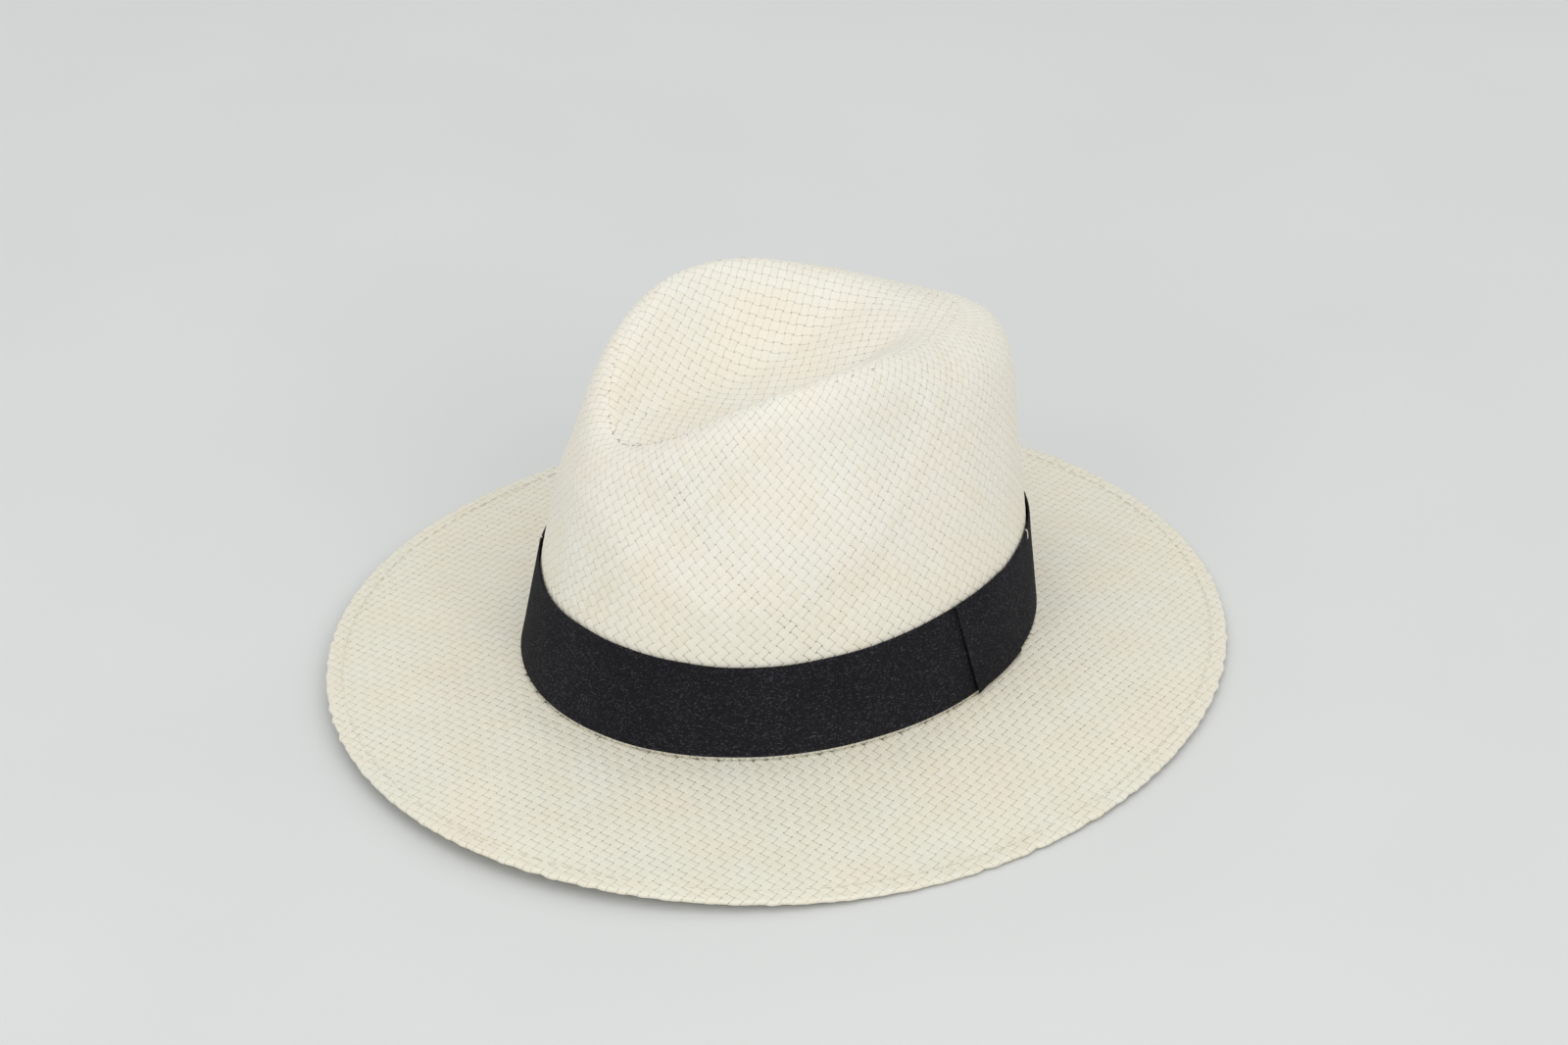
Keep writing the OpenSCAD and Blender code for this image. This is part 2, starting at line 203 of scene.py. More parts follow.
def make_wall_grid():
    """Points of the wall and of a strip inside the crest, by column and even step, and the crest's place."""
    a = fold(grid_t)
    rows = [wall(a, np.zeros(COLS)) - xyz(0, 0, 1.3)]
    rows += [wall(a, np.full(COLS, v)) for v in np.linspace(0, 1, 161)]
    crest_row = len(rows) - 1
    c = crest(a)
    for u in np.linspace(0.02, 0.2, 10):
        x = c[..., 0] * (1 - u)
        y = c[..., 1] + (CREST_Y - 1 - (CREST_L - 16) * np.cos(np.radians(a)) - c[..., 1]) * u
        rows.append(xyz(x, y, top_z(x, y)))
    line = np.stack(rows, 1)
    steps = np.linalg.norm(np.diff(line, axis=1), axis=2)
    length = np.concatenate([np.zeros((COLS, 1)), np.cumsum(steps, 1)], 1)
    count = int(length.max() / STEP) + 2
    even = np.arange(count) * STEP
    grid = np.empty((COLS, count, 3))
    for i in range(COLS):
        for j in range(3):
            grid[i, :, j] = np.interp(even, length[i], line[i, :, j])
    return mirrored(grid, grid_t[:, None]), length[:, crest_row]


wall_grid, crest_at = make_wall_grid()
along = np.roll(wall_grid, -1, 0) - np.roll(wall_grid, 1, 0)
upward = np.gradient(wall_grid, axis=1)
still = np.linalg.norm(upward, axis=2) < 1e-6
for k in range(1, wall_grid.shape[1]):
    upward[still[:, k], k] = upward[still[:, k], k - 1]
wall_normals = unit(np.cross(along, upward))
ring = wall_grid[:, int(60 / STEP)]
ring_steps = np.linalg.norm(np.roll(ring, -1, 0) - ring, axis=1)
ring_share = np.concatenate([[0], np.cumsum(ring_steps)]) / ring_steps.sum()


def blend_grid(grid, c, k):
    """Value of a grid at the fractional column c, which goes round, and row k."""
    c0 = np.floor(c).astype(int)
    fc = (c - c0)[..., None]
    k0 = np.clip(np.floor(k).astype(int), 0, grid.shape[1] - 2)
    fr = np.clip(k - k0, 0, 1)[..., None]
    p = grid[c0 % COLS, k0] * (1 - fr) + grid[c0 % COLS, k0 + 1] * fr
    q = grid[(c0 + 1) % COLS, k0] * (1 - fr) + grid[(c0 + 1) % COLS, k0 + 1] * fr
    return p * (1 - fc) + q * fc


def round_value(values, c):
    """One of the values that go round the hat, at the fractional column c."""
    c0 = np.floor(c).astype(int)
    return values[c0 % COLS] * (1 - (c - c0)) + values[(c0 + 1) % COLS] * (c - c0)


def column_of(share):
    """Fractional column at the share of the girth."""
    return np.interp(share % 1, ring_share, np.arange(COLS + 1))


def on_wall(share, m):
    """Point, normal and column at the share of the way round and the length m up the wall."""
    c = column_of(share)
    return blend_grid(wall_grid, c, m / STEP), unit(blend_grid(wall_normals, c, m / STEP)), c


nudge = np.arange(wall_grid.shape[1]) * 1e-7
height_rows = [np.maximum.accumulate(wall_grid[i, :, 2] + nudge) for i in range(COLS)]
HEIGHT_ROWS_USED = int(90 / STEP)


def wall_at_height(t, z):
    """Point and outward normal of the wall at the angle t and height z, both 1-D and of one length."""
    c = t / 360 * COLS
    c0 = np.floor(c).astype(int)
    m = np.empty(len(t))
    for i in range(len(t)):
        heights = height_rows[c0[i] % COLS][:HEIGHT_ROWS_USED]
        m[i] = np.interp(z[i], heights, np.arange(HEIGHT_ROWS_USED))
    return blend_grid(wall_grid, c, m), unit(blend_grid(wall_normals, c, m))


# ---------------------------------------------------------------- meshes
def mesh_object(name, points, quads, material, caps=(), attributes=None):
    """An object of quads and of caps with any one number of corners; points are in millimetres."""
    mesh = bpy.data.meshes.new(name)
    quads = np.asarray(quads, dtype=np.int32).reshape(-1, 4)
    caps = np.asarray(caps, dtype=np.int32)
    corner_count = quads.size + caps.size
    mesh.vertices.add(len(points))
    mesh.vertices.foreach_set("co", (np.asarray(points) / 1000).astype(np.float32).ravel())
    mesh.loops.add(corner_count)
    mesh.loops.foreach_set("vertex_index", np.concatenate([quads.ravel(), caps.ravel()]).astype(np.int32))
    sizes = np.concatenate([np.full(len(quads), 4), np.full(len(caps), caps.shape[1] if len(caps) else 0)])
    mesh.polygons.add(len(sizes))
    starts = np.concatenate([[0], np.cumsum(sizes)[:-1]]).astype(np.int32)
    mesh.polygons.foreach_set("loop_start", starts)
    mesh.polygons.foreach_set("use_smooth", np.ones(len(sizes), dtype=bool))
    mesh.update(calc_edges=True)
    mesh.validate()
    for key, values in (attributes or {}).items():
        layer = mesh.attributes.new(key, "FLOAT_VECTOR", "POINT")
        layer.data.foreach_set("vector", np.asarray(values, dtype=np.float32).ravel())
    made = bpy.data.objects.new(name, mesh)
    bpy.context.scene.collection.objects.link(made)
    mesh.materials.append(material)
    return made


def finish_piece(made, slot, *nodes):
    """Fastens a piece to the hat, in place of the CAD nodes that it stands for."""
    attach(made, "root")
    if nodes:
        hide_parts(*nodes)
    return made


# Cross-section of a strand: how far across it, -1 to 1, and how high over its middle
SECTION = [(-1, -0.015), (-0.66, 0.045), (0, 0.07), (0.66, 0.045), (1, -0.015), (0, -0.045)]
FINE_SECTION = [(-1, -0.015), (-0.72, 0.04), (-0.4, 0.06), (0, 0.07), (0.4, 0.06), (0.72, 0.04), (1, -0.015),
                (0.45, -0.04), (0, -0.045), (-0.45, -0.04)]


def neighbours(values, run):
    """Central differences that stay inside one run."""
    n = len(values)
    i = np.arange(n)
    after = np.where((i < n - 1) & (run[np.minimum(i + 1, n - 1)] == run), i + 1, i)
    before = np.where((i > 0) & (run[np.maximum(i - 1, 0)] == run), i - 1, i)
    return values[after] - values[before]


def strand_mesh(name, place, family, own, other, run, width, tone, section=SECTION, lift=None):
    """Strands of one family as closed arched strips. place(a, b) gives the point and the normal of the woven
    sheet's middle at a lattice point; own is each strand's whole number and other runs along it."""
    lift = LIFT if lift is None else lift
    wave = np.where(own % 2 == 0, 1.0, -1.0) * np.cos(np.pi * other) * (1 if family == "a" else -1)
    size = len(section)
    verts = np.empty((len(own), size, 3))
    for k, (across, rise) in enumerate(section):
        mine = own + 0.5 * width * across
        p, n = place(mine, other) if family == "a" else place(other, mine)
        verts[:, k] = p + n * (lift * wave + rise)[:, None]
    forward = neighbours(verts[:, 2], run)
    left_handed = np.sum(np.cross(verts[:, 3] - verts[:, 1], forward) * n) < 0
    step = np.linalg.norm(forward, axis=1) / 2
    info = np.empty((len(own), size, 3))
    info[..., 0] = (np.cumsum(step) / 10)[:, None]
    info[..., 1] = np.array([0.5 + 0.5 * across for across, _ in section])[None]
    info[..., 2] = tone[:, None]
    i = np.flatnonzero(run[:-1] == run[1:])[:, None]
    j = np.arange(size)
    nxt = (j + 1) % size
    corners = (i * size + j, i * size + nxt, (i + 1) * size + nxt, (i + 1) * size + j)
    if left_handed:
        corners = corners[::-1]
    quads = np.stack(np.broadcast_arrays(*corners), -1).reshape(-1, 4)
    first = np.flatnonzero(np.diff(run, prepend=run[0] - 1))
    last = np.append(first[1:] - 1, len(run) - 1)
    turn = j if left_handed else j[::-1]
    caps = np.concatenate([first[:, None] * size + turn, last[:, None] * size + turn[::-1]])
    return mesh_object(name, verts.reshape(-1, 3), quads, straw, caps, {"strand": info.reshape(-1, 3)})


class Threads:
    """Collects short lengths of two-ply thread into one mesh."""

    def __init__(self):
        self.points, self.quads, self.caps, self.info, self.count = [], [], [], [], 0

    def add(self, path, radius, turns=2.0, seed=0.0):
        """Adds one thread along a path of points, with its plies twisted by so many turns."""
        n = len(path)
        tangent = unit(np.gradient(path, axis=0))
        helper = np.where(np.abs(tangent[:, 2:3]) > 0.9, [[1.0, 0, 0]], [[0, 0, 1.0]])
        a = unit(np.cross(tangent, helper))
        b = np.cross(tangent, a)
        ang = np.arange(8) * np.pi / 4
        twist = np.linspace(0, turns * 2 * np.pi, n) + seed
        rad = radius * (0.88 + 0.14 * np.cos(2 * (ang[None] - twist[:, None])))
        ring_pts = path[:, None] + a[:, None] * (np.cos(ang)[None] * rad)[..., None]
        ring_pts = ring_pts + b[:, None] * (np.sin(ang)[None] * rad)[..., None]
        i, j = np.arange(n - 1)[:, None], np.arange(8)
        nxt = (j + 1) % 8
        quads = np.stack(np.broadcast_arrays(i * 8 + j, i * 8 + nxt, (i + 1) * 8 + nxt, (i + 1) * 8 + j), -1)
        self.points.append(ring_pts.reshape(-1, 3))
        self.quads.append(quads.reshape(-1, 4) + self.count)
        self.caps.append(np.array([j[::-1], (n - 1) * 8 + j]) + self.count)
        lay = np.empty((n, 8, 3))
        lay[..., 0] = (np.linspace(0, 1, n) * turns)[:, None]
        lay[..., 1] = ang[None] / 6.28
        lay[..., 2] = seed % 1
        self.info.append(lay.reshape(-1, 3))
        self.count += n * 8

    def build(self, name, material):
        return mesh_object(
            name, np.concatenate(self.points), np.concatenate(self.quads), material,
            np.concatenate(self.caps), {"strand": np.concatenate(self.info)},
        )


# ---------------------------------------------------------------- materials
class Nodes:
    """A short way to write one node material."""

    def __init__(self, name):
        self.material = bpy.data.materials.new(name)
        self.material.use_nodes = True
        self.tree = self.material.node_tree
        self.shader = self.tree.nodes["Principled BSDF"]

    def node(self, kind, inputs=None, **settings):
        made = self.tree.nodes.new(kind)
        for key, value in settings.items():
            setattr(made, key, value)
        for key, value in (inputs or {}).items():
            self.put(value, made.inputs[key])
        return made

    def put(self, value, socket):
        if isinstance(value, bpy.types.NodeSocket):
            self.tree.links.new(value, socket)
        else:
            socket.default_value = value

    def math(self, operation, a, b=0.0, c=0.0):
        made = self.node("ShaderNodeMath", operation=operation)
        for k, value in enumerate((a, b, c)):
            self.put(value, made.inputs[k])
        return made.outputs[0]

    def ramp(self, value, *stops):
        made = self.node("ShaderNodeValToRGB", {"Fac": value})
        ramp = made.color_ramp
        while len(ramp.elements) < len(stops):
            ramp.elements.new(0.5)
        for element, (at, colour) in zip(ramp.elements, stops):
            element.position = at
            element.color = (*colour, 1)
        return made.outputs["Color"]

    def mix(self, kind, factor, a, b):
        made = self.node("ShaderNodeMix", data_type="RGBA", blend_type=kind)
        for index, value in ((0, factor), (6, a), (7, b)):
            value = (*value, 1) if isinstance(value, tuple) and len(value) == 3 else value
            self.put(value, made.inputs[index])
        return made.outputs[2]

    def noise(self, vector, scale, detail=3.0, rough=0.55):
        made = self.node(
            "ShaderNodeTexNoise", {"Vector": vector, "Scale": scale, "Detail": detail, "Roughness": rough}
        )
        return made.outputs["Fac"]

    def scaled(self, vector, factors):
        return self.node(
            "ShaderNodeVectorMath", {0: vector, 1: factors}, operation="MULTIPLY"
        ).outputs[0]

    def place(self):
        return self.node("ShaderNodeTexCoord").outputs["Object"]

    def bump(self, height, distance, strength=1.0):
        made = self.node("ShaderNodeBump", {"Height": height, "Distance": distance, "Strength": strength})
        self.put(made.outputs["Normal"], self.shader.inputs["Normal"])


def straw_material():
    n = Nodes("straw")
    lay = n.node("ShaderNodeAttribute", attribute_name="strand").outputs["Vector"]
    parts = n.node("ShaderNodeSeparateXYZ", {0: lay})
    tone = parts.outputs["Z"]
    place = n.place()
    fibre = n.noise(n.scaled(lay, (2.2, 16.0, 90.0)), 1.0, 4.0, 0.6)
    patch = n.noise(place, 22.0, 2.0, 0.5)
    blush = n.noise(place, 60.0, 2.0, 0.5)
    colour = n.ramp(
        tone,
        (0.0, (0.80, 0.755, 0.635)),
        (0.3, (0.845, 0.81, 0.715)),
        (0.55, (0.862, 0.832, 0.753)),
        (0.8, (0.877, 0.852, 0.782)),
        (1.0, (0.875, 0.86, 0.795)),
    )
    streaks = n.ramp(fibre, (0.22, (0.93, 0.91, 0.86)), (0.45, (0.99, 0.985, 0.975)), (0.8, (1.0, 1.0, 1.0)))
    colour = n.mix("MULTIPLY", 0.8, colour, streaks)
    tint = n.ramp(patch, (0.3, (1.0, 0.985, 0.945)), (0.7, (0.965, 0.985, 0.975)))
    colour = n.mix("MULTIPLY", 0.9, colour, tint)
    warm = n.ramp(blush, (0.35, (1.0, 0.97, 0.94)), (0.6, (1.0, 1.0, 1.0)))
    colour = n.mix("MULTIPLY", 0.7, colour, warm)
    # Painted shade: the straw is painted darker and yellower low on the hat, by the brim, and fades to its
    # own colour by about 86 mm up.
    height = n.node("ShaderNodeSeparateXYZ", {0: place}).outputs["Z"]
    painted_low_shade = n.ramp(n.math("MULTIPLY", height, 7.0), (0.15, (0.965, 0.965, 0.925)), (0.6, (1.0, 1.0, 1.0)))
    colour = n.mix("MULTIPLY", 1.0, colour, painted_low_shade)
    n.put(colour, n.shader.inputs["Base Color"])
    rough = n.math("MULTIPLY_ADD", fibre, 0.22, 0.36)
    n.put(rough, n.shader.inputs["Roughness"])
    n.shader.inputs["Specular IOR Level"].default_value = 0.38
    n.bump(fibre, 0.00012, 0.55)
    return n.material


def grosgrain_material():
    n = Nodes("ribbon")
    lay = n.node("ShaderNodeAttribute", attribute_name="strand").outputs["Vector"]
    place = n.place()
    yarn = n.noise(n.scaled(lay, (5.0, 60.0, 1.0)), 1.0, 3.0, 0.6)
    slub = n.noise(n.scaled(lay, (30.0, 2.5, 1.0)), 1.0, 2.0, 0.5)
    fade = n.noise(place, 35.0, 3.0, 0.55)
    speck = n.noise(n.scaled(lay, (11.0, 22.0, 1.0)), 1.0, 2.0, 0.7)
    colour = n.ramp(yarn, (0.25, (0.005, 0.005, 0.007)), (0.75, (0.011, 0.011, 0.014)))
    flecks = n.ramp(speck, (0.55, (0.0, 0.0, 0.0)), (0.74, (0.075, 0.077, 0.085)))
    colour = n.mix("ADD", 1.0, colour, flecks)
    dust = n.ramp(fade, (0.35, (0.75, 0.75, 0.8)), (0.75, (1.2, 1.2, 1.2)))
    colour = n.mix("MULTIPLY", 1.0, colour, dust)
    n.put(colour, n.shader.inputs["Base Color"])
    n.put(n.math("MULTIPLY_ADD", slub, 0.2, 0.6), n.shader.inputs["Roughness"])
    n.shader.inputs["Specular IOR Level"].default_value = 0.14
    n.bump(n.math("ADD", n.math("MULTIPLY", yarn, 0.6), slub), 0.00008, 0.6)
    return n.material


def twill_material(name, light, dark, scale):
    n = Nodes(name)
    lay = n.node("ShaderNodeAttribute", attribute_name="strand").outputs["Vector"]
    wave = n.node(
        "ShaderNodeTexWave", {"Vector": lay, "Scale": scale, "Distortion": 0.6, "Detail": 2.0},
        wave_type="BANDS", bands_direction="DIAGONAL",
    ).outputs["Fac"]
    fuzz = n.noise(n.place(), 900.0, 3.0, 0.6)
    stain = n.noise(n.place(), 28.0, 3.0, 0.6)
    colour = n.ramp(wave, (0.1, dark), (0.8, light))
    marks = n.ramp(stain, (0.35, (0.9, 0.87, 0.82)), (0.65, (1.0, 1.0, 1.0)))
    colour = n.mix("MULTIPLY", 0.7, colour, marks)
    n.put(colour, n.shader.inputs["Base Color"])
    n.put(n.math("MULTIPLY_ADD", fuzz, 0.15, 0.75), n.shader.inputs["Roughness"])
    n.shader.inputs["Sheen Weight"].default_value = 0.3
    n.shader.inputs["Specular IOR Level"].default_value = 0.25
    n.bump(n.math("ADD", wave, n.math("MULTIPLY", fuzz, 0.5)), 0.00015, 0.7)
    return n.material


def thread_material(name, light, dark):
    n = Nodes(name)
    lay = n.node("ShaderNodeAttribute", attribute_name="strand").outputs["Vector"]
    strands = n.noise(n.scaled(lay, (6.0, 22.0, 40.0)), 1.0, 2.0, 0.5)
    n.put(n.ramp(strands, (0.3, dark), (0.7, light)), n.shader.inputs["Base Color"])
    n.put(n.math("MULTIPLY_ADD", strands, 0.2, 0.5), n.shader.inputs["Roughness"])
    n.shader.inputs["Sheen Weight"].default_value = 0.2
    n.bump(strands, 0.00005, 0.6)
    return n.material


def wire_material():
    n = Nodes("wire")
    mark = n.noise(n.place(), 400.0, 4.0, 0.6)
    n.put(n.ramp(mark, (0.3, (0.36, 0.35, 0.33)), (0.7, (0.60, 0.60, 0.60))), n.shader.inputs["Base Color"])
    n.shader.inputs["Metallic"].default_value = 1.0
    n.put(n.math("MULTIPLY_ADD", mark, 0.25, 0.3), n.shader.inputs["Roughness"])
    n.bump(mark, 0.00003, 0.4)
    return n.material


straw = straw_material()
grosgrain = grosgrain_material()
cotton = twill_material("sweatband", (0.66, 0.58, 0.44), (0.46, 0.39, 0.28), 7.0)
tape_cloth = twill_material("tape", (0.74, 0.68, 0.54), (0.58, 0.51, 0.38), 10.0)
cream_thread = thread_material("thread", (0.80, 0.75, 0.60), (0.60, 0.54, 0.40))
pale_thread = thread_material("hem_thread", (0.86, 0.82, 0.71), (0.78, 0.73, 0.61))

# ---------------------------------------------------------------- the straw of the crown's wall
PITCH = 3.45  # from one strand to the next, on the top
AROUND = 112  # strands of each family round the wall
RISE = 0.205  # strands of one family passed per millimetre straight up the wall
LIFT = 0.06  # how far a strand swings either side of the woven sheet's middle
SUB = 4  # samples from one crossing to the next
MIDDLE = -0.58  # the woven sheet's middle, out from the outer face
UNEVEN = 0.34  # how far the sheet wanders
TUCK, TUCK_RUN = 0.45, 1.2  # how far strands bend inwards past the crest, and over what length


def strand_tones(count, seed):
    """A tone and a width for each strand; a few are narrower and leave fine lines beside them."""
    r = np.random.default_rng(seed)
    tone = np.clip(r.normal(0.55, 0.09, count), 0.2, 0.95)
    odd = r.random(count)
    width = r.normal(1.03, 0.008, count)
    narrow = odd > (0.93 if seed % 2 else 0.98)
    width[narrow] = r.uniform(0.85, 0.90, narrow.sum())
    return tone, width


def strand_noise(run, u, seed):
    """Slow change along each strand, about -1 to 1, seeded by the run."""
    a = np.sin(run * 12.9898 + seed) * 43758.5
    b = np.sin(run * 78.233 + seed) * 12543.1
    return 0.6 * np.sin(u * 0.11 + a) + 0.4 * np.sin(u * 0.29 + b)


def strand_looks(own, u, tones, widths, seed):
    """Width and tone at each sample of the strands, u millimetres along them."""
    width = widths[own] + 0.014 * strand_noise(own, u, seed)
    tone = np.clip(tones[own] + 0.06 * strand_noise(own, u, seed + 3), 0, 1)
    return width, tone


def wall_place(a, b):
    """Point and normal of the wall's woven sheet at a lattice point."""
    share, m = (a + b) / (2 * AROUND), np.maximum((b - a) / (2 * RISE), 0)
    p, n, c = on_wall(share, m)
    tuck = TUCK * ease((m - round_value(crest_at, c)) / TUCK_RUN)
    free = ease((m - 48) / 18)
    return p + n * (MIDDLE + UNEVEN * free * lumps(p) - tuck)[:, None], n


def wall_strands(family, seed, part, parts):
    """The strands of one of the equal parts of a family, up to just past the crest."""
    tones, widths = strand_tones(AROUND, seed)
    s = np.arange(0, crest_at.max() * 2 * RISE + 2, 1 / SUB)
    i = np.arange(AROUND * part // parts, AROUND * (part + 1) // parts)[:, None]
    other = i + s if family == "a" else i - s
    m = np.broadcast_to(s / (2 * RISE), other.shape)
    keep = m <= round_value(crest_at, column_of((i + other) / (2 * AROUND))) + TUCK_RUN
    own = np.broadcast_to(i, m.shape)[keep]
    other, m = other[keep], m[keep]
    return own, other, own, *strand_looks(own, m, tones, widths, seed)


WALL_PARTS = 3
for family, seed in (("a", 21), ("b", 22)):
    for part in range(WALL_PARTS):
        lines = wall_strands(family, seed, part, WALL_PARTS)
        piece = strand_mesh(f"crown_weave_{family}{part + 1}", wall_place, family, *lines)
        finish_piece(piece, "straw", "crown")


# ---------------------------------------------------------------- the straw of the top
TOP_GRID = 0.5
TOP_STEP = 1 / (math.sqrt(2) * PITCH)
TOP_PAST = 1.0  # how far the top's strands run on past the crest


def make_top_map():
    """Rows of y, x in each by the length over the surface from the middle line, and the crest's length."""
    y = np.arange(CREST_Y - CREST_L - 2, CREST_Y + CREST_L + 2.01, TOP_GRID)
    k = np.clip((y - CREST_Y + CREST_L) / (2 * CREST_L), 0, 1)
    limit = crest(np.degrees(np.arccos(1 - 2 * k)))[:, 0]
    inside = (y > CREST_Y - CREST_L) & (y < CREST_Y + CREST_L)
    limit = np.where(inside, limit, 0)
    even = np.arange(0, 75, TOP_GRID)
    x_of = np.empty((len(y), len(even)))
    reach = np.empty(len(y))
    for i in range(len(y)):
        xs = np.linspace(0, max(limit[i], 0.5) + 12, 240)
        z = top_z(xs, np.full_like(xs, y[i]))
        arc = np.concatenate([[0], np.cumsum(np.hypot(np.diff(xs), np.diff(z)))])
        x_of[i] = np.interp(even, arc, xs)
        reach[i] = np.interp(limit[i], xs, arc) if inside[i] else -9
    return y, x_of, reach


top_y, top_x_of, top_reach = make_top_map()


def on_top(arc, y):
    """Point and normal of the top at the length arc over the surface from the middle line."""
    row = np.clip((y - top_y[0]) / TOP_GRID, 0, len(top_y) - 1.001)
    r0 = row.astype(int)
    fr = row - r0
    col = np.clip(np.abs(arc) / TOP_GRID, 0, top_x_of.shape[1] - 1.001)
    c0 = col.astype(int)
    fc = col - c0
    x = (
        top_x_of[r0, c0] * (1 - fr) * (1 - fc)
        + top_x_of[r0 + 1, c0] * fr * (1 - fc)
        + top_x_of[r0, c0 + 1] * (1 - fr) * fc
        + top_x_of[r0 + 1, c0 + 1] * fr * fc
    ) * np.sign(arc)
    z = top_z(x, y)
    dx = (top_z(x + 0.4, y) - top_z(x - 0.4, y)) / 0.8
    dy = (top_z(x, y + 0.4) - top_z(x, y - 0.4)) / 0.8
    return xyz(x, y, z), unit(xyz(-dx, -dy, 1))


def cut_runs(params, level):
    """Splits a line of samples into the runs where level is over 0, each ended on the crossing."""
    inside = level > 0
    edges = np.flatnonzero(np.diff(inside.astype(int)))
    starts = [0] if inside[0] else []
    starts += [e + 1 for e in edges if not inside[e]]
    ends = [e for e in edges if inside[e]]
    ends += [len(level) - 1] if inside[-1] else []
    found = []
    for a, b in zip(starts, ends):
        line = list(params[a : b + 1])
        if a > 0:
            f = level[a] / (level[a] - level[a - 1])
            if f > 0.08:
                line.insert(0, params[a] + (params[a - 1] - params[a]) * f)
        if b < len(level) - 1:
            f = level[b] / (level[b] - level[b + 1])
            if f > 0.08:
                line.append(params[b] + (params[b + 1] - params[b]) * f)
        if len(line) > 2:
            found.append(np.array(line))
    return found


def cut_strands(family, numbers, other, level_at, finer=1):
    """Samples of the strands with these numbers wherever level_at(a, b) is over 0: own, other and run."""
    runs, ids, fixed = [], [], []
    for i in numbers:
        a, b = (i, other) if family == "a" else (other, i)
        for line in cut_runs(other, level_at(a, b)):
            if finer > 1:
                steps = np.arange(0, len(line) - 1 + 1e-9, 1 / finer)
                line = np.interp(steps, np.arange(len(line)), line)
            runs.append(line)
            ids.append(np.full(len(line), len(fixed)))
            fixed.append(i)
    run = np.concatenate(ids)
    return np.array(fixed)[run], np.concatenate(runs), run


def top_lattice(a, b):
    """Length over the surface from the middle line, and y, of a lattice point."""
    return (a + b) / (2 * TOP_STEP), CREST_Y + (a - b) / (2 * TOP_STEP)


def inside_crest(arc, y):
    """Length over the surface from there to the crest; below 0 past it."""
    return np.interp(y, top_y, top_reach) - np.abs(arc)


def top_place(a, b):
    """Point and normal of the top's woven sheet at a lattice point."""
    arc, y = top_lattice(a, b)
    p, n = on_top(arc, y)
    tuck = TUCK * ease(-inside_crest(arc, y) / TUCK_RUN)
    return p + n * (MIDDLE + UNEVEN * lumps(p) - tuck)[:, None], n


def top_strands(family, seed):
    """The strands of the top, cut off just past the crest."""
    reach = int(110 / PITCH)
    tones, widths = strand_tones(2 * reach, seed)
    samples = np.arange(-reach - 2, reach + 2, 1 / SUB)
    own, other, run = cut_strands(
        family, range(-reach, reach), samples, lambda a, b: inside_crest(*top_lattice(a, b)) + TOP_PAST
    )
    return own, other, run, *strand_looks(own, other * PITCH, tones, widths, seed)


for family, seed in (("a", 31), ("b", 32)):
    piece = strand_mesh(f"crown_top_weave_{family}", top_place, family, *top_strands(family, seed))
    finish_piece(piece, "straw", "crown")

# ---------------------------------------------------------------- the straw of the brim and its turned edge
ANGLE_A, ANGLE_B = math.radians(26), math.radians(114)
BRIM_PITCH = 3.42
ACROSS_A = [-math.sin(ANGLE_A), math.cos(ANGLE_A)]
ACROSS_B = [math.sin(ANGLE_B), -math.cos(ANGLE_B)]
LATTICE = np.linalg.inv(np.array([ACROSS_A, ACROSS_B]) / BRIM_PITCH)
ROLL_R = 0.95
TURN = math.pi * ROLL_R
FOLD_END = TURN + HEM_W - HEM_R
HEM_LIFT = 0.065
BRIM_END, HEM_START = -1.9, -2.0  # the brim's strands end and the turned edge's start, just before the turn
ALL = 999


def brim_place(a, b):
    """Angle, share of the way out, and length past the start of the turned edge, of a lattice point."""
    x = LATTICE[0, 0] * a + LATTICE[0, 1] * b
    y = LATTICE[1, 0] * a + LATTICE[1, 1] * b
    q = np.full(np.shape(x), 0.5)
    for _ in range(12):
        ex, ey = BASE_X + (BRIM_X - BASE_X) * q, BASE_Y + (BRIM_Y - BASE_Y) * q
        f = (x / ex) ** 2 + (y / ey) ** 2 - 1
        d = -2 * (x * x * (BRIM_X - BASE_X) / ex**3 + y * y * (BRIM_Y - BASE_Y) / ey**3)
        q = np.clip(q - f / np.minimum(d, -1e-6), -0.9, 2.5)
    ex, ey = BASE_X + (BRIM_X - BASE_X) * q, BASE_Y + (BRIM_Y - BASE_Y) * q
    t = np.degrees(np.arctan2(x / ex, -y / ey)) % 360
    return t, q, HEM_R - (1 - q) * brim_reach(t)


